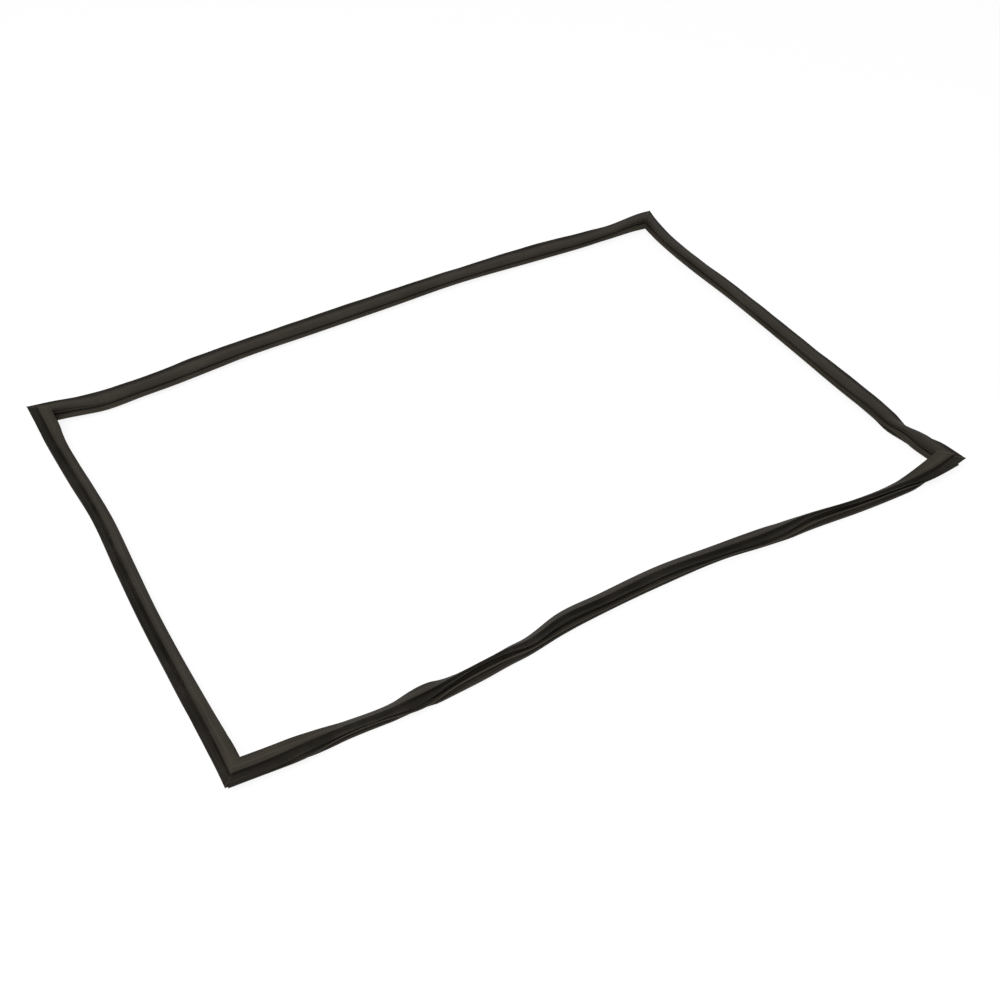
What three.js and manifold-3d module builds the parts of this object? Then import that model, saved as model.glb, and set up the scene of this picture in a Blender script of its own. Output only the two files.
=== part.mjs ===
// Refrigerator door gasket. Four mitred lengths of one hollow flexible profile are welded into a
// loop, and each side holds a magnet strip in its pocket. The loop lies as it comes out of its
// wrapping: on its push-in foot, magnet face up, with the sides waved and tipped over.
// Millimetres, +Z up. The long sides run along X, and the origin is on the floor below the middle
// of the loop's bounding box.
import * as THREE from "three";
import { mergeVertices } from "three/addons/utils/BufferGeometryUtils.js";
import Module from "manifold-3d";

const wasm = await Module();
wasm.setup();

// Loop, over the tips of the outer lip with the sides pulled straight
const LOOP_LENGTH = 850;
const LOOP_WIDTH = 595;

// Push-in foot under the base: a leg with two pairs of barbs
const FOOT_DEPTH = 6.5;
const FOOT_LEG_WIDTH = 2.0;
const FOOT_TIP_WIDTH = 1.2;
const BARB_REACH = 1.5;
const BARB_COUNT = 2;
const BARB_BACK = 0.4;

// Base plate, which seats on the door with its two wings and is relieved between them
const BASE_WIDTH = 21.2;
const BASE_THICKNESS = 1.4;
const BASE_SETBACK = 3.8;
const SEAT_WIDTH = 6;
const SEAT_RELIEF = 0.3;

// Bellows between the base and the magnet pad
const BELLOWS_HEIGHT = 5.2;
const BELLOWS_WALL = 1.0;
const FOLD_DEPTH = 1.9;
const OUTER_FOLD_SETBACK = 2.3;
const INNER_FOLD_SETBACK = 4.2;

// Magnet pad and the thin lip outside it
const PAD_WIDTH = 13;
const PAD_THICKNESS = 4.2;
const POCKET_WALL = 0.8;
const PAD_OVERHANG = 2.6;
const LIP_REACH = 9;
const LIP_ROOT_THICKNESS = 1.0;
const LIP_TIP_THICKNESS = 0.7;
const GROOVE_WIDTH = 1.3;
const GROOVE_DEPTH = 0.4;
const EDGE_ROUND = 0.45;

// Magnet strips and the vents that let the hollows breathe
const MAGNET_CLEARANCE = 0.3;
const WELD_LENGTH = 6;
const VENT_LENGTH = 5;
const VENT_WIDTH = 1.6;
const VENT_FROM_FOOT = 1.2;

// Longest straight step of the profile between two stations, and the most it rolls in one, degrees
const STATION_STEP = 52;
const ROLL_STEP = 12;

// How each corner lies: inset of the profile from the straight loop, roll of its top towards the
// middle of the loop in degrees, stretch of the bellows, and height of its lowest point
const CORNERS = {
  frontLeft: [0.3, 0, 0.8, 0],
  frontRight: [-0.8, 0, 4.5, 0],
  backRight: [-1.2, -9, 2.5, 0],
  backLeft: [2, 0, 5, 2],
};

// How each side lies between its corners: share of the side's length, then the same four values
const FRONT_WAVES = [
  [0.035, -1.6, 0, 0.8, 0],
  [0.06, -3.8, 5, 1.6, 0],
  [0.09, -7.2, 20, 1.6, 0],
  [0.13, -6.3, 36, -2.6, 0],
  [0.18, -7.8, 36, -3.4, 0],
  [0.225, -9.4, 18, 1.8, 0],
  [0.255, -10.3, 44, -0.2, 0],
  [0.3, -9.1, 58, -0.6, 0],
  [0.335, -5.1, 48, -1, 0],
  [0.36, -3, 40, -1.6, 0],
  [0.41, 4, 34, 2.2, 0],
  [0.47, 7.6, 30, 0.6, 0],
  [0.56, 9.8, 30, 1, 0],
  [0.65, 8, 24, -1.8, 0],
  [0.705, 1.4, 20, 1, 0],
  [0.765, -2.4, 44, 0.4, 0],
  [0.84, -7.9, 46, -2.4, 0],
  [0.9, -9.5, 42, -3.4, 0],
  [0.94, -7.8, 25, -2.4, 0],
  [0.97, -4, 8, -0.9, 0],
];
const RIGHT_WAVES = [
  [0.045, 1.8, -2, 4.2, 0],
  [0.085, 3.4, -20, 2, 0],
  [0.12, 6.8, -25, -0.6, 0],
  [0.17, 5.4, -16, 0.4, 0],
  [0.25, 4.9, -10, 0.3, 0],
  [0.42, 3.7, -12, -1, 0],
  [0.67, 2.6, -14, -1.6, 0],
  [0.82, 4.6, -19, -1.6, 0],
  [0.93, 3.8, -15, -1.2, 0],
  [0.975, 1.6, -13, 1.2, 0],
];
const BACK_WAVES = [
  [0.025, -3.4, -9, 1.8, 0],
  [0.075, -3.4, -5, -2, 0],
  [0.12, -4.4, 0, -2, 0],
  [0.2, -8.6, 6, -1.2, 0],
  [0.353, -13, 0, -2, 0],
  [0.47, -10.2, 4, -1.2, 0],
  [0.6, -7.2, 5, -1.2, 0],
  [0.706, -4.2, 2, -1, 0],
  [0.765, -0.2, 4, 0, 0],
  [0.824, 4.8, 1, 0, 0],
  [0.882, 7, 2, 0, 0],
  [0.94, 8.2, 8, 2.4, 0],
  [0.97, 6, 4, 4.4, 1.2],
];
const LEFT_WAVES = [
  [0.03, 1.2, 5, 3, 1.3],
  [0.08, -1.8, 24, 0, 0],
  [0.16, -1.7, 30, -0.2, 0],
  [0.24, -0.2, 30, 0.4, 0],
  [0.345, 2.5, 30, -1.3, 0],
  [0.5, -0.9, 30, -0.7, 0],
  [0.62, -3.2, 31, -0.9, 0],
  [0.75, -3.7, 31, -0.6, 0],
  [0.83, -3, 24, 0, 0],
  [0.92, -0.4, 12, -0.8, 0],
  [0.96, 0.6, 3, 0.8, 0],
];

// Heights and places across the profile. u runs inwards from the tip of the lip, z up from the foot
const BASE_TOP = FOOT_DEPTH + BASE_THICKNESS;
const BELLOWS_TOP = BASE_TOP + BELLOWS_HEIGHT;
const PAD_TOP = BELLOWS_TOP + PAD_THICKNESS;
const PAD_OUTER = LIP_REACH;
const PAD_INNER = LIP_REACH + PAD_WIDTH;
const BASE_OUTER = BASE_SETBACK;
const BASE_INNER = BASE_SETBACK + BASE_WIDTH;
const FOOT_CENTRE = BASE_SETBACK + BASE_WIDTH / 2;

// Right half of the foot and of the relief beside it, from the foot's tip to the seat, as distances
// from its middle
function footHalf() {
  const leg = FOOT_LEG_WIDTH / 2;
  const points = [[FOOT_TIP_WIDTH / 2, 0]];
  for (let barb = 1; barb <= BARB_COUNT; barb += 1) {
    const tip = (barb * FOOT_DEPTH) / (BARB_COUNT + 0.5);
    points.push([leg + BARB_REACH / barb, tip]);
    points.push([leg, tip + BARB_BACK]);
  }
  points.push([leg, FOOT_DEPTH + SEAT_RELIEF]);
  points.push([BASE_WIDTH / 2 - SEAT_WIDTH, FOOT_DEPTH]);
  return points;
}

// A folded wall from the base up to the pad: a zigzag of four points, bottom first
function foldedWall(footAt, topAt, fold) {
  const places = [footAt, footAt + fold, topAt - fold, topAt];
  return places.map((u, k) => [u, BASE_TOP + (k * BELLOWS_HEIGHT) / (places.length - 1)]);
}

const outerWall = foldedWall(
  BASE_OUTER + OUTER_FOLD_SETBACK, PAD_OUTER - GROOVE_WIDTH / 2, FOLD_DEPTH,
);
const innerWall = foldedWall(BASE_INNER - INNER_FOLD_SETBACK, PAD_INNER - PAD_OVERHANG, -FOLD_DEPTH);

// Outer outline of the profile, counter-clockwise from the foot's tip
function profileOutline() {
  const half = footHalf();
  const lipTip = BELLOWS_TOP + LIP_TIP_THICKNESS / 2;
  const lipRoot = BELLOWS_TOP + LIP_ROOT_THICKNESS;
  const soft = EDGE_ROUND;
  return [
    ...half.map(([off, z]) => [FOOT_CENTRE + off, z]),
    [BASE_INNER - soft, FOOT_DEPTH],
    [BASE_INNER, FOOT_DEPTH + soft],
    [BASE_INNER, BASE_TOP - soft],
    [BASE_INNER - soft, BASE_TOP],
    ...innerWall,
    [PAD_INNER - soft, BELLOWS_TOP],
    [PAD_INNER, BELLOWS_TOP + soft],
    [PAD_INNER, PAD_TOP - soft],
    [PAD_INNER - soft, PAD_TOP],
    [PAD_OUTER + soft, PAD_TOP],
    [PAD_OUTER, PAD_TOP - soft],
    [PAD_OUTER, lipRoot],
    [PAD_OUTER - GROOVE_WIDTH / 2, lipRoot - GROOVE_DEPTH],
    [PAD_OUTER - GROOVE_WIDTH, lipRoot],
    [LIP_TIP_THICKNESS / 2, lipTip + LIP_TIP_THICKNESS / 2],
    [0, lipTip],
    [LIP_TIP_THICKNESS / 2, lipTip - LIP_TIP_THICKNESS / 2],
    ...outerWall.toReversed(),
    [BASE_OUTER + soft, BASE_TOP],
    [BASE_OUTER, BASE_TOP - soft],
    [BASE_OUTER, FOOT_DEPTH + soft],
    [BASE_OUTER + soft, FOOT_DEPTH],
    ...half.toReversed().map(([off, z]) => [FOOT_CENTRE - off, z]),
  ];
}

// Hollow of the bellows, one wall inside the folded walls
function chamberOutline() {
  return [
    ...innerWall.map(([u, z]) => [u - BELLOWS_WALL, z]),
    ...outerWall.toReversed().map(([u, z]) => [u + BELLOWS_WALL, z]),
  ];
}

// Rectangle across the pad, a margin inside its skin: the pocket, or the magnet in it
function padRectangle(margin) {
  return [
    [PAD_OUTER + margin, BELLOWS_TOP + margin],
    [PAD_INNER - margin, BELLOWS_TOP + margin],
    [PAD_INNER - margin, PAD_TOP - margin],
    [PAD_OUTER + margin, PAD_TOP - margin],
  ];
}

// Slot beside the foot, from below the base up into the magnet pocket
function ventOutline() {
  const inner = FOOT_CENTRE - FOOT_LEG_WIDTH / 2 - VENT_FROM_FOOT;
  const bottom = FOOT_DEPTH - BASE_THICKNESS;
  const top = (BELLOWS_TOP + PAD_TOP) / 2;
  return [[inner - VENT_WIDTH, bottom], [inner, bottom], [inner, top], [inner - VENT_WIDTH, top]];
}

const outline = profileOutline();

// A side: its first corner, the direction it runs, its length and the curve of its waves
function makeSide(name, start, along, length, from, waves, to) {
  const rows = [[0, ...from], ...waves, [1, ...to]];
  const shares = rows.map((row) => row[0]);
  const lie = new THREE.CubicInterpolant(shares, rows.flatMap((row) => row.slice(1)), from.length);
  const inward = new THREE.Vector2(-along.y, along.x);
  return { name, start, along, inward, length, shares, lie };
}

const right = LOOP_LENGTH / 2;
const back = LOOP_WIDTH / 2;
const sides = [
  makeSide("front", new THREE.Vector2(-right, -back), new THREE.Vector2(1, 0), LOOP_LENGTH,
    CORNERS.frontLeft, FRONT_WAVES, CORNERS.frontRight),
  makeSide("right", new THREE.Vector2(right, -back), new THREE.Vector2(0, 1), LOOP_WIDTH,
    CORNERS.frontRight, RIGHT_WAVES, CORNERS.backRight),
  makeSide("back", new THREE.Vector2(right, back), new THREE.Vector2(-1, 0), LOOP_LENGTH,
    CORNERS.backRight, BACK_WAVES, CORNERS.backLeft),
  makeSide("left", new THREE.Vector2(-right, back), new THREE.Vector2(0, -1), LOOP_WIDTH,
    CORNERS.backLeft, LEFT_WAVES, CORNERS.frontLeft),
];

// How far up the bellows a height is: 0 on the base and below, 1 on the pad and lip
function liftShare(z) {
  return THREE.MathUtils.clamp((z - BASE_TOP) / BELLOWS_HEIGHT, 0, 1);
}

// The placing of the profile at one station of a side. The bellows are stretched, the whole is
// rolled about the root of the foot and set down, and the station slants from the mitre at a
// corner to square at the side's middle.
function stationAt(side, share, lie = side.lie.evaluate(share)) {
  const [inset, rollDegrees, stretch, height] = lie;
  const roll = THREE.MathUtils.degToRad(rollDegrees);
  const rolled = ([u, z]) => {
    const x = u - FOOT_CENTRE;
    const y = z + liftShare(z) * stretch - FOOT_DEPTH;
    return [
      inset + FOOT_CENTRE + x * Math.cos(roll) + y * Math.sin(roll),
      FOOT_DEPTH - x * Math.sin(roll) + y * Math.cos(roll),
    ];
  };
  const lowest = Math.min(...outline.map((point) => rolled(point)[1]));
  return (point) => {
    const [u, z] = rolled(point);
    const spot = side.start.clone();
    spot.addScaledVector(side.inward, u);
    spot.addScaledVector(side.along, u + share * (side.length - 2 * u));
    return new THREE.Vector3(spot.x, spot.y, z - lowest + height);
  };
}

// Shares of a side's length that carry a station: its way-points, and steps between those that
// lie far apart or turn much. The weld at either end gets a station of its own.
function stationShares(side) {
  const weld = WELD_LENGTH / side.length;
  const marks = [0, weld, ...side.shares.slice(1, -1), 1 - weld, 1];
  const rolls = marks.map((share) => side.lie.evaluate(share)[1]);
  const shares = [];
  for (let k = 0; k < marks.length - 1; k += 1) {
    const reach = ((marks[k + 1] - marks[k]) * side.length) / STATION_STEP;
    const turn = Math.abs(rolls[k + 1] - rolls[k]) / ROLL_STEP;
    const steps = Math.ceil(Math.max(reach, turn));
    for (let step = 0; step < steps; step += 1) {
      shares.push(THREE.MathUtils.lerp(marks[k], marks[k + 1], step / steps));
    }
  }
  return shares;
}

// Skin a section carried through its stations, as a ring or with flat ends. Each quad is split
// from its outer edge at one station to its inner edge at the next, so that the two skins of a
// wall that twists stay parallel.
function loft(section, stations, ring) {
  const count = section.length;
  const positions = stations.flatMap((place) => section.flatMap((point) => place(point).toArray()));
  const index = [];
  const spans = ring ? stations.length : stations.length - 1;
  for (let i = 0; i < spans; i += 1) {
    const here = i * count;
    const next = ((i + 1) % stations.length) * count;
    for (let j = 0; j < count; j += 1) {
      const k = (j + 1) % count;
      if (section[k][0] < section[j][0]) {
        index.push(here + j, here + k, next + j, here + k, next + k, next + j);
      } else {
        index.push(here + j, here + k, next + k, here + j, next + k, next + j);
      }
    }
  }
  if (!ring) {
    const last = (stations.length - 1) * count;
    const flat = section.map(([u, z]) => new THREE.Vector2(u, z));
    for (const [a, b, c] of THREE.ShapeUtils.triangulateShape(flat, [])) {
      index.push(a, c, b, last + a, last + b, last + c);
    }
  }
  const geometry = new THREE.BufferGeometry();
  geometry.setAttribute("position", new THREE.Float32BufferAttribute(positions, 3));
  geometry.setIndex(index);
  return geometry;
}

// Solid for joining and cutting, from a closed geometry
function toSolid(geometry) {
  const merged = mergeVertices(geometry);
  const vertProperties = new Float32Array(merged.attributes.position.array);
  const triVerts = new Uint32Array(merged.index.array);
  return new wasm.Manifold(new wasm.Mesh({ numProp: 3, vertProperties, triVerts }));
}

// Geometry to draw, from a solid
function toGeometry(solid) {
  const mesh = solid.getMesh();
  const geometry = new THREE.BufferGeometry();
  geometry.setAttribute("position", new THREE.Float32BufferAttribute(mesh.vertProperties, 3));
  geometry.setIndex(Array.from(mesh.triVerts));
  geometry.computeVertexNormals();
  return geometry;
}

// The welded loop: the profile run round all four sides, with its bellows and pocket hollow and
// a vent slot in the middle of each side
function gasketFrame() {
  const stations = sides.flatMap((side) => stationShares(side).map((share) => stationAt(side, share)));
  let solid = toSolid(loft(outline, stations, true));
  solid = solid.subtract(toSolid(loft(chamberOutline(), stations, true)));
  solid = solid.subtract(toSolid(loft(padRectangle(POCKET_WALL), stations, true)));
  for (const side of sides) {
    const reach = VENT_LENGTH / 2 / side.length;
    const ends = [0.5 - reach, 0.5 + reach].map((share) => stationAt(side, share));
    solid = solid.subtract(toSolid(loft(ventOutline(), ends, false)));
  }
  return toGeometry(solid);
}

// The magnet strip of one side, slid into the pocket and stopping short of the corner welds
function magnetStrip(side) {
  const shares = [...stationShares(side).slice(1), 1];
  const stations = shares.slice(0, -1).map((share) => stationAt(side, share));
  const strip = loft(padRectangle(POCKET_WALL + MAGNET_CLEARANCE), stations, false);
  strip.computeVertexNormals();
  return strip;
}

const profileVinyl = new THREE.MeshStandardMaterial({ color: 0x2b2924, roughness: 0.55, metalness: 0 });
const magnetFerrite = new THREE.MeshStandardMaterial({ color: 0x3a3431, roughness: 0.8, metalness: 0 });

const gasket = new THREE.Group();

const frame = new THREE.Mesh(gasketFrame(), profileVinyl);
frame.name = "gasket_frame";
gasket.add(frame);

for (const side of sides) {
  const strip = new THREE.Mesh(magnetStrip(side), magnetFerrite);
  strip.name = `magnet_strip_${side.name}`;
  gasket.add(strip);
}

// Set the loop down with the middle of its bounding box over the origin
const box = new THREE.Box3().setFromObject(gasket);
const middle = box.getCenter(new THREE.Vector3());
gasket.position.set(-middle.x, -middle.y, -box.min.z);

export default gasket;
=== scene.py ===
"""Looks of a refrigerator door gasket that lies loose on a white floor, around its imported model.

Lengths are in metres. The file follows the gasket as it is put together: the welded loop, the
magnet strips in its pocket, then the floor, the light and the camera.
"""

import math

import bpy
import numpy as np
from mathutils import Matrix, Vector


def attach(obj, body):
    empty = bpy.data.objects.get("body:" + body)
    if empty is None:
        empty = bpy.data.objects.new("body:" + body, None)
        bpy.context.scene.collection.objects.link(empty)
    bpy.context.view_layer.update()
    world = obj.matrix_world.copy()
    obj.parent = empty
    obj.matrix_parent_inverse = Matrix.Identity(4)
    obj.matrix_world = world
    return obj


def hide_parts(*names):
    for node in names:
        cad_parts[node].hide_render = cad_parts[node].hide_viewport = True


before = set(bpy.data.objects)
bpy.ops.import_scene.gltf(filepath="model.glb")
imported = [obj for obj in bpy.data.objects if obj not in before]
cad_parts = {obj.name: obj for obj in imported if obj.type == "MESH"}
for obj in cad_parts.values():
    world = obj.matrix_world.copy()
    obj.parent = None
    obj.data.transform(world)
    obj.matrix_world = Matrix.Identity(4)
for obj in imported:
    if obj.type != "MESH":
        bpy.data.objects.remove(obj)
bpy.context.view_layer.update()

# Gasket loop. Four lengths of one extruded black vinyl profile are cut to a mitre and welded into
# a loop: thin outer lip, magnet pad, hollow bellows, base and barbed push-in foot. It comes out of
# its wrapping waved, so each side is tipped and bowed along its length.
MM = 0.001
DEGREE = math.pi / 180

LOOP_LENGTH = 850 * MM
LOOP_WIDTH = 595 * MM
SHIFT = np.array([-1.4005, -3.5043, 0]) * MM

FOOT_DEPTH = 6.5 * MM
FOOT_LEG = 2.0 * MM
FOOT_TIP = 1.2 * MM
BARB_REACH = 1.5 * MM
BARB_COUNT = 2
BARB_BACK = 0.4 * MM

BASE_WIDTH = 21.2 * MM
BASE_THICKNESS = 1.4 * MM
BASE_SETBACK = 3.8 * MM
SEAT_WIDTH = 6.0 * MM
SEAT_RELIEF = 0.3 * MM

BELLOWS_HEIGHT = 5.2 * MM
BELLOWS_WALL = 1.0 * MM
FOLD_DEPTH = 1.9 * MM
OUTER_FOLD_SETBACK = 2.3 * MM
INNER_FOLD_SETBACK = 4.2 * MM

PAD_WIDTH = 13.0 * MM
PAD_THICKNESS = 4.2 * MM
POCKET_WALL = 0.8 * MM
PAD_OVERHANG = 2.6 * MM
PAD_BEAD_PLACE = 5.4 * MM
PAD_BEAD_WIDTH = 1.5 * MM
PAD_BEAD_HEIGHT = 0.25 * MM
LIP_REACH = 9.0 * MM
LIP_ROOT = 1.0 * MM
LIP_TIP = 0.7 * MM
GROOVE_WIDTH = 1.3 * MM
GROOVE_DEPTH = 0.4 * MM

VENT_LENGTH = 5.0 * MM
VENT_WIDTH = 1.6 * MM
VENT_FROM_FOOT = 1.2 * MM

BASE_TOP = FOOT_DEPTH + BASE_THICKNESS
BELLOWS_TOP = BASE_TOP + BELLOWS_HEIGHT
PAD_TOP = BELLOWS_TOP + PAD_THICKNESS
PAD_OUTER = LIP_REACH
PAD_INNER = LIP_REACH + PAD_WIDTH
BEAD = PAD_OUTER + PAD_BEAD_PLACE
GROOVE = PAD_OUTER - GROOVE_WIDTH / 2
BASE_OUTER = BASE_SETBACK
BASE_INNER = BASE_SETBACK + BASE_WIDTH
FOOT_CENTRE = BASE_SETBACK + BASE_WIDTH / 2
VENT_INNER = FOOT_CENTRE - FOOT_LEG / 2 - VENT_FROM_FOOT
VENT_OUTER = VENT_INNER - VENT_WIDTH

# How each corner lies: inset from the straight loop, roll towards the middle of the loop, stretch
# of the bellows and height, in millimetres and degrees, and the same along each side by its share
CORNERS = {
    "front_left": (0.3, 0, 0.8, 0),
    "front_right": (-0.8, 0, 4.5, 0),
    "back_right": (-1.2, -9, 2.5, 0),
    "back_left": (2, 0, 5, 2),
}
FRONT_WAVES = [
    (0.035, -1.6, 0, 0.8, 0),
    (0.06, -3.8, 5, 1.6, 0),
    (0.09, -7.2, 20, 1.6, 0),
    (0.13, -6.3, 36, -2.6, 0),
    (0.18, -7.8, 36, -3.4, 0),
    (0.225, -9.4, 18, 1.8, 0),
    (0.255, -10.3, 44, -0.2, 0),
    (0.3, -9.1, 58, -0.6, 0),
    (0.335, -5.1, 48, -1, 0),
    (0.36, -3, 40, -1.6, 0),
    (0.41, 4, 34, 2.2, 0),
    (0.47, 7.6, 30, 0.6, 0),
    (0.56, 9.8, 30, 1, 0),
    (0.65, 8, 24, -1.8, 0),
    (0.705, 1.4, 20, 1, 0),
    (0.765, -2.4, 44, 0.4, 0),
    (0.84, -7.9, 46, -2.4, 0),
    (0.9, -9.5, 42, -3.4, 0),
    (0.94, -7.8, 25, -2.4, 0),
    (0.97, -4, 8, -0.9, 0),
]
RIGHT_WAVES = [
    (0.045, 1.8, -2, 4.2, 0),
    (0.085, 3.4, -20, 2, 0),
    (0.12, 6.8, -25, -0.6, 0),
    (0.17, 5.4, -16, 0.4, 0),
    (0.25, 4.9, -10, 0.3, 0),
    (0.42, 3.7, -12, -1, 0),
    (0.67, 2.6, -14, -1.6, 0),
    (0.82, 4.6, -19, -1.6, 0),
    (0.93, 3.8, -15, -1.2, 0),
    (0.975, 1.6, -13, 1.2, 0),
]
BACK_WAVES = [
    (0.025, -3.4, -9, 1.8, 0),
    (0.075, -3.4, -5, -2, 0),
    (0.12, -4.4, 0, -2, 0),
    (0.2, -8.6, 6, -1.2, 0),
    (0.353, -13, 0, -2, 0),
    (0.47, -10.2, 4, -1.2, 0),
    (0.6, -7.2, 5, -1.2, 0),
    (0.706, -4.2, 2, -1, 0),
    (0.765, -0.2, 4, 0, 0),
    (0.824, 4.8, 1, 0, 0),
    (0.882, 7, 2, 0, 0),
    (0.94, 8.2, 8, 2.4, 0),
    (0.97, 6, 4, 4.4, 1.2),
]
LEFT_WAVES = [
    (0.03, 1.2, 5, 3, 1.3),
    (0.08, -1.8, 24, 0, 0),
    (0.16, -1.7, 30, -0.2, 0),
    (0.24, -0.2, 30, 0.4, 0),
    (0.345, 2.5, 30, -1.3, 0),
    (0.5, -0.9, 30, -0.7, 0),
    (0.62, -3.2, 31, -0.9, 0),
    (0.75, -3.7, 31, -0.6, 0),
    (0.83, -3, 24, 0, 0),
    (0.92, -0.4, 12, -0.8, 0),
    (0.96, 0.6, 3, 0.8, 0),
]
LIE_UNITS = np.array([1, MM, DEGREE, MM, MM])

STATION_PITCH = 4.8 * MM
WELD_STATIONS = np.array([0.2, 0.45, 0.8, 1.3, 2.2]) * MM
NEAR = 0.1 * MM
TINY = 1e-9

# Radii of the profile's rounded edges, and how much of an edge's leg a curve may take
TIGHT = 0.12 * MM
SLIGHT = 0.3 * MM
SOFT = 0.45 * MM
FOLD_ROUND = 0.5 * MM
PAD_ROUND = 0.6 * MM
PAD_CREST_ROUND = 0.7 * MM
GROOVE_ROUND = 0.25 * MM
GROOVE_EDGE_ROUND = 0.15 * MM
LEG_SHARE = 0.45


def rounded(corners):
    """Closed outline of (u, z) points with every corner turned by a curve.

    corners holds (u, z, radius, count). The curve touches both legs of its corner at
    radius / tan(half the angle), at most LEG_SHARE of the shorter leg, and is the parabola
    (1-w)^2 A + 2w(1-w) C + w^2 B with w at count even places. Returns the points and the
    outline's direction at each.
    """
    table = np.array(corners, dtype=float)
    here = table[:, :2]
    before = np.roll(here, 1, axis=0) - here
    after = np.roll(here, -1, axis=0) - here
    before_length = np.linalg.norm(before, axis=1)
    after_length = np.linalg.norm(after, axis=1)
    before /= before_length[:, None]
    after /= after_length[:, None]
    half = np.arccos(np.clip((before * after).sum(axis=1), -1, 1)) / 2
    longest = LEG_SHARE * np.minimum(before_length, after_length)
    reach = np.minimum(table[:, 2] / np.tan(half), longest)
    first = here + before * reach[:, None]
    last = here + after * reach[:, None]
    counts = table[:, 3].astype(int)
    owner = np.repeat(np.arange(len(table)), counts)
    rank = np.arange(counts.sum()) - np.repeat(np.cumsum(counts) - counts, counts)
    w = np.where(counts[owner] > 1, rank / np.maximum(counts[owner] - 1, 1), 0.5)[:, None]
    a, c, b = first[owner], here[owner], last[owner]
    points = (1 - w) ** 2 * a + 2 * w * (1 - w) * c + w**2 * b
    heading = (1 - w) * -before[owner] + w * after[owner]
    return points, heading / np.linalg.norm(heading, axis=1)[:, None]


def folded_wall(foot, top, fold):
    """A bellows wall from the base up: u = foot, foot + fold, top - fold, top at even heights."""
    places = np.array([foot, foot + fold, top - fold, top])
    return np.column_stack([places, np.linspace(BASE_TOP, BELLOWS_TOP, len(places))])


outer_wall = folded_wall(BASE_OUTER + OUTER_FOLD_SETBACK, GROOVE, FOLD_DEPTH)
inner_wall = folded_wall(BASE_INNER - INNER_FOLD_SETBACK, PAD_INNER - PAD_OVERHANG, -FOLD_DEPTH)


def foot_half():
    """Half of the foot, tip first, as (distance from its middle, z, radius, count)."""
    leg = FOOT_LEG / 2
    rows = [(FOOT_TIP / 2, 0, SLIGHT, 3)]
    for barb in range(1, BARB_COUNT + 1):
        tip = barb * FOOT_DEPTH / (BARB_COUNT + 0.5)
        rows.append((leg + BARB_REACH / barb, tip, TIGHT, 3))
        rows.append((leg, tip + BARB_BACK, 0, 1))
    rows.append((leg, FOOT_DEPTH + SEAT_RELIEF, SLIGHT, 3))
    rows.append((BASE_WIDTH / 2 - SEAT_WIDTH, FOOT_DEPTH, SLIGHT, 2))
    return rows


def wall_rows(wall):
    """A wall's four points as outline corners: its ends slightly rounded, its folds more."""
    end, fold = (SLIGHT, 2), (FOLD_ROUND, 4)
    return [(*point, *turn) for point, turn in zip(wall, (end, fold, fold, end))]


def profile_corners():
    """Corners of the whole profile, counter-clockwise from the foot's tip."""
    half = foot_half()
    lip_tip = BELLOWS_TOP + LIP_TIP / 2
    lip_root = BELLOWS_TOP + LIP_ROOT
    bead_half = PAD_BEAD_WIDTH / 2
    right = [(FOOT_CENTRE + off, z, r, n) for off, z, r, n in half]
    left = [(FOOT_CENTRE - off, z, r, n) for off, z, r, n in half[::-1]]
    relief = SEAT_RELIEF / (BASE_WIDTH / 2 - SEAT_WIDTH - FOOT_LEG / 2)
    vent = [(u, FOOT_DEPTH + SEAT_RELIEF - (FOOT_CENTRE - FOOT_LEG / 2 - u) * relief, 0, 1)
            for u in (VENT_OUTER, VENT_INNER)]
    return [
        *right,
        (BASE_INNER, FOOT_DEPTH, SOFT, 3),
        (BASE_INNER, BASE_TOP, SOFT, 4),
        *wall_rows(inner_wall),
        (PAD_INNER, BELLOWS_TOP, PAD_ROUND, 4),
        (PAD_INNER, PAD_TOP, PAD_CREST_ROUND, 5),
        (BEAD + bead_half, PAD_TOP, TIGHT, 2),
        (BEAD, PAD_TOP + PAD_BEAD_HEIGHT, SLIGHT, 3),
        (BEAD - bead_half, PAD_TOP, TIGHT, 2),
        (PAD_OUTER, PAD_TOP, PAD_ROUND, 5),
        (PAD_OUTER, lip_root, GROOVE_EDGE_ROUND, 2),
        (GROOVE, lip_root - GROOVE_DEPTH, GROOVE_ROUND, 3),
        (PAD_OUTER - GROOVE_WIDTH, lip_root, GROOVE_ROUND, 3),
        (0, lip_tip + LIP_TIP / 2, SLIGHT, 4),
        (0, lip_tip - LIP_TIP / 2, SLIGHT, 4),
        *wall_rows(outer_wall)[::-1],
        (BASE_OUTER, BASE_TOP, SOFT, 4),
        (BASE_OUTER, FOOT_DEPTH, SOFT, 3),
        left[0],
        *vent,
        *left[1:],
    ]


def chamber_corners():
    """Corners of the bellows' hollow, one wall inside the folded walls."""
    return [
        *[(u - BELLOWS_WALL, z, 0, 1) for u, z in inner_wall],
        (VENT_INNER, BELLOWS_TOP, 0, 1),
        (VENT_OUTER, BELLOWS_TOP, 0, 1),
        *[(u + BELLOWS_WALL, z, 0, 1) for u, z in outer_wall[::-1]],
        (VENT_OUTER, BASE_TOP, 0, 1),
        (VENT_INNER, BASE_TOP, 0, 1),
    ]


def pocket_corners():
    """Corners of the magnet's pocket, one skin inside the pad."""
    low, high = BELLOWS_TOP + POCKET_WALL, PAD_TOP - POCKET_WALL
    outer, inner = PAD_OUTER + POCKET_WALL, PAD_INNER - POCKET_WALL
    return [
        (outer, low, 0, 1),
        (VENT_OUTER, low, 0, 1),
        (VENT_INNER, low, 0, 1),
        (inner, low, 0, 1),
        (inner, high, 0, 1),
        (outer, high, 0, 1),
    ]


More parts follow.
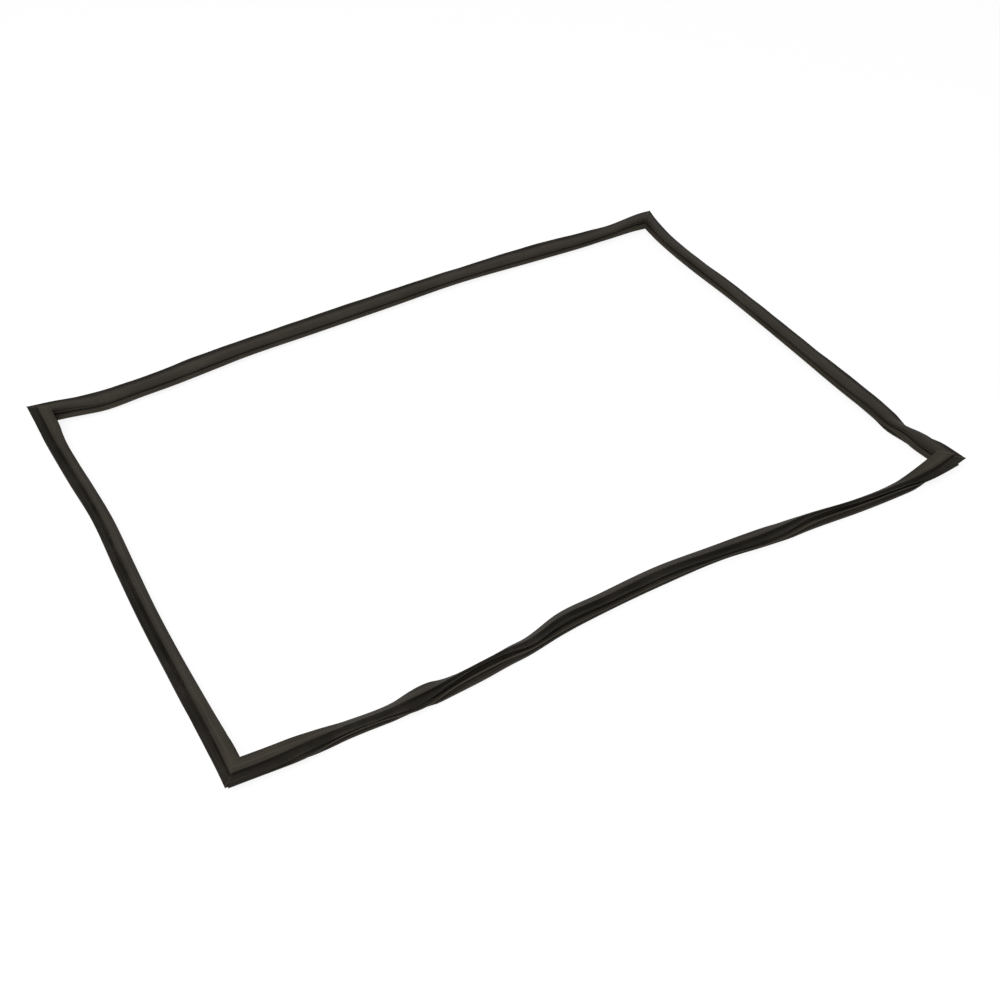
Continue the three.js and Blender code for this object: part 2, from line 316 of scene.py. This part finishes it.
def lie_at(start, waves, end, share):
    """Inset, roll, stretch and height along a side.

    A cubic through the way-points whose slope at each is the mean of the two secants beside it,
    and at the two ends the secant of the end stretch.
    """
    rows = np.array([(0, *start), *waves, (1, *end)]) * LIE_UNITS
    at, values = rows[:, 0], rows[:, 1:]
    secant = np.diff(values, axis=0) / np.diff(at)[:, None]
    slope = np.vstack([secant[:1], (secant[1:] + secant[:-1]) / 2, secant[-1:]])
    k = np.clip(np.searchsorted(at, share, side="right") - 1, 0, len(at) - 2)
    span = (at[k + 1] - at[k])[:, None]
    p = (share - at[k])[:, None] / span
    return (
        (2 * p**3 - 3 * p**2 + 1) * values[k]
        + (p**3 - 2 * p**2 + p) * span * slope[k]
        + (3 * p**2 - 2 * p**3) * values[k + 1]
        + (p**3 - p**2) * span * slope[k + 1]
    )


def side_shares(length):
    """Shares of a side that carry a station: even steps, finer ones by the welds and the vent."""
    steps = 2 * round(length / STATION_PITCH / 2)
    weld = WELD_STATIONS / length
    vent = VENT_LENGTH / 2 / length
    return np.unique(np.concatenate(
        [np.arange(steps) / steps, weld, 1 - weld, [0.5 - vent, 0.5 + vent]]
    ))


right, back = LOOP_LENGTH / 2, LOOP_WIDTH / 2
SIDES = [
    ((-right, -back), (1, 0), LOOP_LENGTH, "front_left", FRONT_WAVES, "front_right"),
    ((right, -back), (0, 1), LOOP_WIDTH, "front_right", RIGHT_WAVES, "back_right"),
    ((right, back), (-1, 0), LOOP_LENGTH, "back_right", BACK_WAVES, "back_left"),
    ((-right, back), (0, -1), LOOP_WIDTH, "back_left", LEFT_WAVES, "front_left"),
]


def stations():
    """Everything that is known of each station round the loop, as one array per quantity."""
    parts = {name: [] for name in ("start", "along", "length", "share", "lie", "run", "vent")}
    run = 0.0
    for start, along, length, first, waves, last in SIDES:
        share = side_shares(length)
        count = len(share)
        parts["start"].append(np.tile(start, (count, 1)))
        parts["along"].append(np.tile(along, (count, 1)))
        parts["length"].append(np.full(count, length))
        parts["share"].append(share)
        parts["lie"].append(lie_at(CORNERS[first], waves, CORNERS[last], share))
        parts["run"].append(run + share * length)
        parts["vent"].append(np.abs(share - 0.5) * length < VENT_LENGTH / 2 + TINY)
        run += length
    return {name: np.concatenate(rows) for name, rows in parts.items()}, run


loop, loop_run = stations()

# Small unevenness of the soft profile as it lies: the lip's edge flutters, the welds stand proud
LIP_FLUTTER = 0.35 * MM
FLUTTER_TURNS = ((23, 0.4), (41, 1.9), (67, 3.1))
WELD_BEAD = 0.28 * MM
WELD_SPREAD = 0.5 * MM


def flutter(run):
    """Sum of three sine waves that close round the loop, between -1 and 1."""
    waves = [np.sin(2 * np.pi * turns * run / loop_run + phase) for turns, phase in FLUTTER_TURNS]
    return sum(waves) / len(waves)


def weld_bead():
    """Height of the weld's bead at each station: a bell curve of the distance from the mitre."""
    away = np.minimum(loop["share"], 1 - loop["share"]) * loop["length"]
    return WELD_BEAD * np.exp(-((away / WELD_SPREAD) ** 2))


def placed(section, ground):
    """Carry (u, z) points through every station, as an array of stations by points by xyz.

    The part of z between base and pad is stretched, the section is rolled about the foot's root
    by the lie's angle, set down by the station's ground, and slants from the mitre to square at
    the side's middle: the place along a side is u + share * (length - 2u).
    """
    inset, roll, stretch, height = loop["lie"].T[:, :, None]
    u, z = section[..., 0], section[..., 1]
    lift = np.clip((z - BASE_TOP) / BELLOWS_HEIGHT, 0, 1)
    x = u - FOOT_CENTRE
    y = z + lift * stretch - FOOT_DEPTH
    across = inset + FOOT_CENTRE + x * np.cos(roll) + y * np.sin(roll)
    up = FOOT_DEPTH - x * np.sin(roll) + y * np.cos(roll)
    share, length = loop["share"][:, None], loop["length"][:, None]
    distance = across + share * (length - 2 * across)
    along = loop["along"][:, None, :]
    inward = np.stack([-along[..., 1], along[..., 0]], axis=-1)
    flat = loop["start"][:, None, :] + inward * across[..., None] + along * distance[..., None]
    if ground is None:
        ground = height - up.min(axis=1, keepdims=True)
    return np.concatenate([flat, (up + ground)[..., None]], axis=-1) + SHIFT, ground


def ring_quads(count, offset, inside):
    """Quads between neighbouring stations of a closed section, as stations by points by 4.

    An outer skin's quad runs point, next point, then the same on the next station. A hollow's
    quads run the other way round.
    """
    rows = len(loop["share"])
    i, j = np.meshgrid(np.arange(rows), np.arange(count), indexing="ij")
    i2, j2 = (i + 1) % rows, (j + 1) % count
    quad = np.stack([i * count + j, i * count + j2, i2 * count + j2, i2 * count + j], axis=-1)
    return offset + (quad[..., [0, 3, 2, 1]] if inside else quad)


def vent_walls(low, high):
    """Walls of the vent slots between two skins.

    low and high give the vertex numbers of the slot's outer and inner edge at every station. Side
    walls join both edges from station to station, end walls close the slot's first and last.
    """
    open_here = loop["vent"] & np.roll(loop["vent"], -1)
    first = loop["vent"] & ~np.roll(loop["vent"], 1)
    last = loop["vent"] & ~np.roll(loop["vent"], -1)
    i = np.flatnonzero(open_here)
    j = i + 1
    f, l = np.flatnonzero(first), np.flatnonzero(last)
    return np.concatenate([
        np.stack([low[1][i], low[1][j], high[1][j], high[1][i]], axis=-1),
        np.stack([low[0][j], low[0][i], high[0][i], high[0][j]], axis=-1),
        np.stack([low[0][f], low[1][f], high[1][f], high[0][f]], axis=-1),
        np.stack([low[1][l], low[0][l], high[0][l], high[1][l]], axis=-1),
    ])


def vent_column(section, z):
    """Number of the section's point where the vent's outer edge meets the height z."""
    gap = np.hypot(section[:, 0] - VENT_OUTER, section[:, 1] - z)
    return int(gap.argmin())


# How far the painted shade of the lip's edge reaches in, and how strong it and the base's painted
# light are
EDGE_PAINTED_SHADE_WIDTH = 0.8 * MM
EDGE_PAINTED_SHADE_SHARE = 0.8
BASE_PAINTED_LIGHT_SHARE = 0.7
HALF_FOLDS = 3


def paint_light_and_shade(section):
    """Painted light and shade round the section: 1 where painted light, -1 where painted shade.

    The pad's bead gets a painted highlight, the groove and the lip's edge painted shade: bell
    curves of the distance across from each. The base is painted light, and the folded walls carry
    painted shade that swings with their folds.
    """
    u, z = section.T
    on_pad = z > PAD_TOP - NEAR
    # Painted highlight along the pad's bead
    bead = np.exp(-(((u - BEAD) / (PAD_BEAD_WIDTH / 2)) ** 2)) * on_pad
    on_lip = (z > BELLOWS_TOP + 2 * NEAR) & (z < PAD_TOP)
    # Painted shade in the groove where the lip meets the pad
    groove = np.exp(-(((u - GROOVE) / GROOVE_WIDTH) ** 2)) * on_lip
    # Painted shade along the lip's edge, a dark outline
    edge = np.exp(-((u / EDGE_PAINTED_SHADE_WIDTH) ** 2))
    on_wall = (z > BASE_TOP + NEAR) & (z < BELLOWS_TOP)
    # Painted shade in the bellows' folds, swinging up the wall
    folds = (np.cos(HALF_FOLDS * np.pi * (z - BASE_TOP) / BELLOWS_HEIGHT) - 1) / 2 * on_wall
    # Painted light on the base
    on_base = (z > FOOT_DEPTH) & (z <= BASE_TOP + NEAR)
    return bead - groove - EDGE_PAINTED_SHADE_SHARE * edge + folds + BASE_PAINTED_LIGHT_SHARE * on_base


def gasket_mesh():
    """The loop as one closed mesh: skin, bellows hollow and pocket, joined by the vent slots."""
    rows = len(loop["share"])
    section, heading = rounded(profile_corners())
    facing = np.column_stack([heading[:, 1], -heading[:, 0]])
    lip = np.clip(1 - section[:, 0] / LIP_REACH, 0, 1) * (section[:, 1] > BELLOWS_TOP - NEAR)
    shaped = section[None] + facing[None] * weld_bead()[:, None, None]
    shaped[..., 1] += LIP_FLUTTER * flutter(loop["run"])[:, None] * lip[None] ** 2
    skin, ground = placed(shaped, None)
    chamber_section, _ = rounded(chamber_corners())
    pocket_section, _ = rounded(pocket_corners())
    chamber, _ = placed(chamber_section[None], ground)
    pocket, _ = placed(pocket_section[None], ground)

    counts = [len(section), len(chamber_section), len(pocket_section)]
    offsets = np.cumsum([0] + [rows * count for count in counts])
    quads = [ring_quads(count, offset, inside)
             for count, offset, inside in zip(counts, offsets, (False, True, True))]
    keep = [np.ones(quad.shape[:2], dtype=bool) for quad in quads]
    open_here = loop["vent"] & np.roll(loop["vent"], -1)

    def edge(piece, j):
        """Vertex numbers of two neighbouring points of a section at every station."""
        ring = offsets[piece] + np.arange(rows) * counts[piece]
        return ring + j % counts[piece], ring + (j + 1) % counts[piece]

    under = vent_column(section, FOOT_DEPTH)
    floor = vent_column(chamber_section, BASE_TOP)
    ceiling = vent_column(chamber_section, BELLOWS_TOP)
    sill = vent_column(pocket_section, BELLOWS_TOP + POCKET_WALL)
    keep[0][open_here, under] = False
    keep[1][open_here, floor] = False
    keep[1][open_here, ceiling - 1] = False
    keep[2][open_here, sill] = False
    walls = [
        vent_walls(edge(0, under), edge(1, floor)),
        vent_walls(edge(1, ceiling - 1)[::-1], edge(2, sill)),
    ]
    faces = np.concatenate([quad[kept] for quad, kept in zip(quads, keep)] + walls)
    points = np.concatenate([part.reshape(-1, 3) for part in (skin, chamber, pocket)])

    steps = np.linalg.norm(np.diff(section, axis=0, append=section[:1]), axis=1)
    girth = np.concatenate([[0], np.cumsum(steps)])
    return points, faces, keep[0], girth, paint_light_and_shade(section)


def mesh_object(name, points, faces):
    """An object at the origin whose mesh has these points and quads, shaded smooth."""
    mesh = bpy.data.meshes.new(name)
    mesh.vertices.add(len(points))
    mesh.vertices.foreach_set("co", points.astype(np.float32).ravel())
    mesh.loops.add(faces.size)
    mesh.loops.foreach_set("vertex_index", faces.astype(np.int32).ravel())
    mesh.polygons.add(len(faces))
    mesh.polygons.foreach_set("loop_start", np.arange(0, faces.size, 4, dtype=np.int32))
    mesh.update(calc_edges=True)
    mesh.validate()
    mesh.shade_smooth()
    made = bpy.data.objects.new(name, mesh)
    bpy.context.scene.collection.objects.link(made)
    return made


points, faces, skin_kept, girth, painted_light_and_shade = gasket_mesh()
gasket = mesh_object("gasket_loop", points, faces)

# Pattern coordinates: metres along the loop and metres round the profile
rows, columns = skin_kept.shape
run = np.append(loop["run"], loop_run)
i, j = np.nonzero(skin_kept)
skin_uv = np.stack([
    np.stack([run[i], girth[j]], axis=-1),
    np.stack([run[i], girth[j + 1]], axis=-1),
    np.stack([run[i + 1], girth[j + 1]], axis=-1),
    np.stack([run[i + 1], girth[j]], axis=-1),
], axis=1)
uv = np.zeros((len(faces), 4, 2))
uv[: len(skin_uv)] = skin_uv
layer = gasket.data.uv_layers.new(name="along_and_round")
layer.data.foreach_set("uv", uv.astype(np.float32).ravel())

# Two values per point of the skin: nearness to a weld, and painted light and shade across the
# profile
skin_values = {"weld": np.repeat(weld_bead() / WELD_BEAD, columns), "painted_light_and_shade": np.tile(painted_light_and_shade, rows)}
for name, values in skin_values.items():
    layer = gasket.data.attributes.new(name=name, type="FLOAT", domain="POINT")
    values = np.append(values, np.zeros(len(points) - len(values)))
    layer.data.foreach_set("value", values.astype(np.float32))

# Exact surface directions, so that the flats look flat right up to their rounded edges
FLAT_WEIGHT = 80
weighted = gasket.modifiers.new("flat_shading", "WEIGHTED_NORMAL")
weighted.weight = FLAT_WEIGHT
weighted.keep_sharp = True


class Wire:
    """A socket in a material's node tree. Arithmetic on wires adds Math nodes."""

    def __init__(self, tree, socket=None):
        self.tree = tree
        self.socket = socket

    def node(self, kind, sockets=(), out=0, **settings):
        """Add a node of this kind: its settings first, then its sockets as values or wires."""
        made = self.tree.nodes.new(kind)
        for name, value in settings.items():
            setattr(made, name, value)
        for key, value in dict(sockets).items():
            if isinstance(value, Wire):
                self.tree.links.new(value.socket, made.inputs[key])
            else:
                made.inputs[key].default_value = value
        return Wire(self.tree, made.outputs[out] if made.outputs else None)

    def maths(self, operation, first, second):
        return self.node("ShaderNodeMath", {0: first, 1: second}, operation=operation)

    def __add__(self, other):
        return self.maths("ADD", self, other)

    def __mul__(self, other):
        return self.maths("MULTIPLY", self, other)

    def __sub__(self, other):
        return self.maths("SUBTRACT", self, other)

    def blend(self, low, high):
        """Colour between low and high, with this wire as the share."""
        return self.node(
            "ShaderNodeMix", {"Factor": self, 6: low, 7: high}, out=2, data_type="RGBA"
        )


def new_material(name):
    """An empty material and a wire to start its nodes from."""
    made = bpy.data.materials.new(name)
    made.use_nodes = True
    made.node_tree.nodes.clear()
    return made, Wire(made.node_tree)


def finish_surface(start, **sockets):
    """Principled shader with these sockets, as the material's surface."""
    named = {name.replace("_", " "): value for name, value in sockets.items()}
    shader = start.node("ShaderNodeBsdfPrincipled", named)
    start.node("ShaderNodeOutputMaterial", {"Surface": shader})


VINYL_DARK = (0.0055, 0.0046, 0.0034, 1)
VINYL_LIGHT = (0.04, 0.034, 0.0262, 1)
BLOOM = (0.06, 0.056, 0.048, 1)

# Noise of the vinyl: turns per metre along and round the profile, or per metre every way
LINE_SCALE = (9, 1500, 1)
BAND_SCALE = (14, 420, 1)
CLOUD_SCALE = 26.0
SPECK_SCALE = 700.0
GRAIN_SCALE = 2600.0

# Shares of each noise in the colour, the bloom, the roughness and the relief
TONE_LINES, TONE_BANDS, TONE_CLOUD, TONE_PAINTED_LIGHT_AND_SHADE, TONE_LESS = 0.4, 0.6, 0.5, 0.5, 0.17
DUST_FROM, DUST_TO, DUST_SHARE, WELD_SHARE = 0.30, 0.46, 0.35, 0.5
ROUGH_CLOUD, ROUGH_LINES, ROUGH_BASE = 0.18, 0.14, 0.45
RELIEF_LINES, RELIEF_GRAIN, RELIEF_BANDS = 0.55, 0.35, 0.5
RELIEF_STRENGTH = 0.35
RELIEF_DEPTH = 0.12 * MM


def vinyl_material():
    """Black extruded vinyl: die lines and bands along the loop, a faint bloom, fine grain."""
    made, start = new_material("profile_vinyl")
    place = start.node("ShaderNodeTexCoord", out="Object")
    strip = start.node("ShaderNodeUVMap", uv_map="along_and_round")
    drawn = start.node("ShaderNodeMapping", {"Vector": strip, "Scale": LINE_SCALE})
    lines = start.node("ShaderNodeTexNoise", {"Vector": drawn, "Scale": 1.0, "Detail": 3.0})
    broad = start.node("ShaderNodeMapping", {"Vector": strip, "Scale": BAND_SCALE})
    bands = start.node("ShaderNodeTexNoise", {"Vector": broad, "Scale": 1.0, "Detail": 2.0})
    cloud = start.node("ShaderNodeTexNoise", {"Vector": place, "Scale": CLOUD_SCALE, "Detail": 4.0})
    grain = start.node("ShaderNodeTexNoise", {"Vector": place, "Scale": GRAIN_SCALE, "Detail": 2.0})
    specks = start.node(
        "ShaderNodeTexNoise", {"Vector": place, "Scale": SPECK_SCALE, "Detail": 3.0}
    )
    # Painted light and shade across the profile, read from the skin's points
    painted_light_and_shade = start.node("ShaderNodeAttribute", out="Fac", attribute_name="painted_light_and_shade")
    noise = lines * TONE_LINES + bands * TONE_BANDS + cloud * TONE_CLOUD
    # The body colour takes the painted light and shade: lighter on bead and base, darker in groove,
    # folds and lip edge
    body = (noise + painted_light_and_shade * TONE_PAINTED_LIGHT_AND_SHADE - TONE_LESS).blend(VINYL_DARK, VINYL_LIGHT)
    dust = start.node(
        "ShaderNodeMapRange",
        {"Value": specks * cloud, "From Min": DUST_FROM, "From Max": DUST_TO},
    )
    weld = start.node("ShaderNodeAttribute", out="Fac", attribute_name="weld")
    colour = (dust * DUST_SHARE + weld * WELD_SHARE).blend(body, BLOOM)
    relief = lines * RELIEF_LINES + grain * RELIEF_GRAIN + bands * RELIEF_BANDS
    bump = start.node(
        "ShaderNodeBump",
        {"Height": relief, "Strength": RELIEF_STRENGTH, "Distance": RELIEF_DEPTH},
    )
    finish_surface(
        start,
        Base_Color=colour,
        Roughness=cloud * ROUGH_CLOUD + lines * ROUGH_LINES + ROUGH_BASE,
        Specular_IOR_Level=0.3,
        IOR=1.25,
        Normal=bump,
    )
    return made


gasket.data.materials.append(vinyl_material())
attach(gasket, "root")
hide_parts("gasket_frame")

# Magnet strips. One strip of flexible ferrite, about 11 by 2 mm, is slid into the pocket of each
# side before the corners are welded. They show only through the vents.
FERRITE_DARK = (0.028, 0.023, 0.02, 1)
FERRITE_LIGHT = (0.06, 0.05, 0.044, 1)
FERRITE_SPECK_SCALE = 1800.0
FERRITE_PATCH_SCALE = 60.0
FERRITE_RELIEF = 0.1 * MM


def ferrite_material():
    """Matt rolled ferrite: fine grey-brown specks over broader patches."""
    made, start = new_material("magnet_ferrite")
    place = start.node("ShaderNodeTexCoord", out="Object")
    specks = start.node(
        "ShaderNodeTexNoise", {"Vector": place, "Scale": FERRITE_SPECK_SCALE, "Detail": 3.0}
    )
    patches = start.node(
        "ShaderNodeTexNoise", {"Vector": place, "Scale": FERRITE_PATCH_SCALE, "Detail": 2.0}
    )
    colour = (specks * 0.6 + patches * 0.4).blend(FERRITE_DARK, FERRITE_LIGHT)
    bump = start.node(
        "ShaderNodeBump", {"Height": specks, "Strength": 0.3, "Distance": FERRITE_RELIEF}
    )
    finish_surface(start, Base_Color=colour, Roughness=specks * 0.15 + 0.7, Normal=bump)
    return made


ferrite = ferrite_material()
for side in ("front", "right", "back", "left"):
    strip_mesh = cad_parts[f"magnet_strip_{side}"].data
    strip_mesh.materials.clear()
    strip_mesh.materials.append(ferrite)

# Floor. A plain white sheet, larger than any view of it, that keeps a soft shadow of the gasket.
FLOOR_HALF = 9.0
WHITE = (1, 1, 1, 1)
FLOOR_PAINT = (0.86, 0.86, 0.86, 1)
SHOWN_SHADOW = 0.12


def floor_material():
    """Matt white that shows at full white, less a share of its shadow."""
    made, start = new_material("white_floor")
    paint = start.node("ShaderNodeBsdfDiffuse", {"Color": FLOOR_PAINT})
    lit = start.node("ShaderNodeBsdfDiffuse", {"Color": WHITE})
    glow = start.node("ShaderNodeEmission", {"Color": WHITE, "Strength": 1.0})
    shown = start.node("ShaderNodeMixShader", {0: SHOWN_SHADOW, 1: glow, 2: lit})
    seen = start.node("ShaderNodeLightPath", out="Is Camera Ray")
    surface = start.node("ShaderNodeMixShader", {0: seen, 1: paint, 2: shown})
    start.node("ShaderNodeOutputMaterial", {"Surface": surface})
    return made


floor_points = np.array([(-1, -1, 0), (1, -1, 0), (1, 1, 0), (-1, 1, 0)]) * FLOOR_HALF
floor = mesh_object("floor", floor_points, np.array([[0, 1, 2, 3]]))
floor.data.materials.append(floor_material())

# Light. An even white sky, with one broad soft lamp high on the near left.
SKY = 0.6
KEY_POWER = 95.0
KEY_SIZE = 2.2
KEY_PLACE = (-1.5, -1.3, 2.6)

world = bpy.data.worlds.new("studio")
world.use_nodes = True
world.node_tree.nodes.clear()
sky = Wire(world.node_tree)
seen = sky.node("ShaderNodeLightPath", out="Is Camera Ray")
strength = seen * (1 - SKY) + SKY
glow = sky.node("ShaderNodeBackground", {"Color": WHITE, "Strength": strength})
sky.node("ShaderNodeOutputWorld", {"Surface": glow})
bpy.context.scene.world = world

key = bpy.data.lights.new("key", "AREA")
key.energy = KEY_POWER
key.shape = "DISK"
key.size = KEY_SIZE
key_lamp = bpy.data.objects.new("key", key)
key_lamp.location = KEY_PLACE
bpy.context.scene.collection.objects.link(key_lamp)
aim = (-np.array(KEY_PLACE)).tolist()
key_lamp.rotation_mode = "QUATERNION"
key_lamp.rotation_quaternion = Vector(aim).to_track_quat("-Z", "Y")

# Camera. It looks down on the loop from the front left, as the photograph does.
CAMERA_PLACE = (-0.58171, -1.03973, 1.0034)
CAMERA_TILT = 47.561 * DEGREE
CAMERA_TURN = -30.054 * DEGREE
CAMERA_ROLL = -0.107 * DEGREE
LENS = 50.459
SENSOR_WIDTH = 36

camera = bpy.data.objects.new("camera", bpy.data.cameras.new("camera"))
camera.data.lens = LENS
camera.data.sensor_width = SENSOR_WIDTH
camera.location = CAMERA_PLACE
turn = Matrix.Rotation(CAMERA_TURN, 3, "Z")
tilt = Matrix.Rotation(CAMERA_TILT, 3, "X")
roll = Matrix.Rotation(CAMERA_ROLL, 3, "Z")
camera.rotation_mode = "QUATERNION"
camera.rotation_quaternion = (turn @ tilt @ roll).to_quaternion()
bpy.context.scene.collection.objects.link(camera)
bpy.context.scene.camera = camera
bpy.context.scene.view_settings.view_transform = "Standard"
